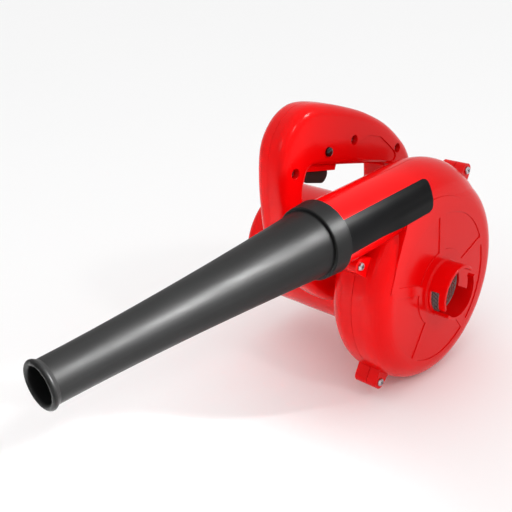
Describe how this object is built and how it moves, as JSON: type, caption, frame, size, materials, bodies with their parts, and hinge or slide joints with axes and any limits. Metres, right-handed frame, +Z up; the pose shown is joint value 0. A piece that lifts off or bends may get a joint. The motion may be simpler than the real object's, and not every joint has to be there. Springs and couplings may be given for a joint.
{
  "type": "electric hand blower",
  "caption": "Hand-held electric blower with a round volute, long tapered rubber nozzle, slotted inlet collar, motor barrel and D handle with trigger.",
  "frame": {"origin": "centre of the inlet collar's rim, on the fan axis", "axes": "-Y points out of the inlet collar, +Y to the motor's far end, -X along the nozzle, +Z up to the handle"},
  "size_m": [0.4807, 0.2125, 0.268],
  "materials": {
    "housing_red": "glossy moulded red ABS",
    "nozzle_rubber": "satin black moulded rubber",
    "trigger_grey": "matt dark grey plastic",
    "button_black": "glossy black plastic",
    "mesh_wire": "woven steel wire",
    "screw_zinc": "zinc-plated steel",
    "steel": "ground steel",
    "core_iron": "laminated iron",
    "copper": "enamelled copper wire",
    "brass": "pressed brass",
    "carbon": "matt carbon",
    "impeller_grey": "dark grey filled nylon",
    "capacitor_yellow": "yellow plastic case"
  },
  "bodies": {
    "housing": {"fan_cover": "housing_red", "fan_case": "housing_red", "inlet_mesh": "mesh_wire", "motor_case": "housing_red", "end_cover": "housing_red", "handle_near_half": "housing_red", "handle_far_half": "housing_red", "trigger_spring": "screw_zinc", "lock_spring": "screw_zinc", "switch_body": "button_black", "capacitor": "capacitor_yellow", "front_bearing": "steel", "rear_bearing": "steel", "bearing_retainer": "screw_zinc", "field_core": "core_iron", "field_coils": "copper", "field_screws": "screw_zinc", "brush_holders": "brass", "carbon_brushes": "carbon", "brush_springs": "screw_zinc", "volute_screws": "screw_zinc", "handle_screws": "screw_zinc", "motor_case_screws": "screw_zinc", "end_cover_screws": "screw_zinc"},
    "rotor": {"impeller": "impeller_grey", "impeller_nut": "screw_zinc", "impeller_washer": "screw_zinc", "shaft_spacer": "steel", "motor_shaft": "steel", "armature_core": "core_iron", "armature_windings": "copper", "commutator": "copper"},
    "trigger": {"trigger": "trigger_grey"},
    "lock_button": {"lock_button": "button_black"},
    "nozzle": {"nozzle": "nozzle_rubber"}
  },
  "joints": [
    {"name": "rotor_spin", "type": "hinge", "parent": "housing", "child": "rotor", "pos_m": [0, 0.0485, 0], "axis": [0, 1, 0], "continuous": true},
    {"name": "trigger_press", "type": "slide", "parent": "housing", "child": "trigger", "axis": [0, 0, 1], "range_m": [0, 0.005], "stiffness_N_per_m": 700, "springref_m": -0.003, "deforming": ["trigger_spring"]},
    {"name": "lock_press", "type": "slide", "parent": "housing", "child": "lock_button", "axis": [0, 1, 0], "range_m": [0, 0.0025], "stiffness_N_per_m": 500, "springref_m": -0.002},
    {"name": "nozzle_pull", "type": "slide", "parent": "housing", "child": "nozzle", "axis": [-1, 0, 0], "range_m": [0, 0.015]}
  ]
}
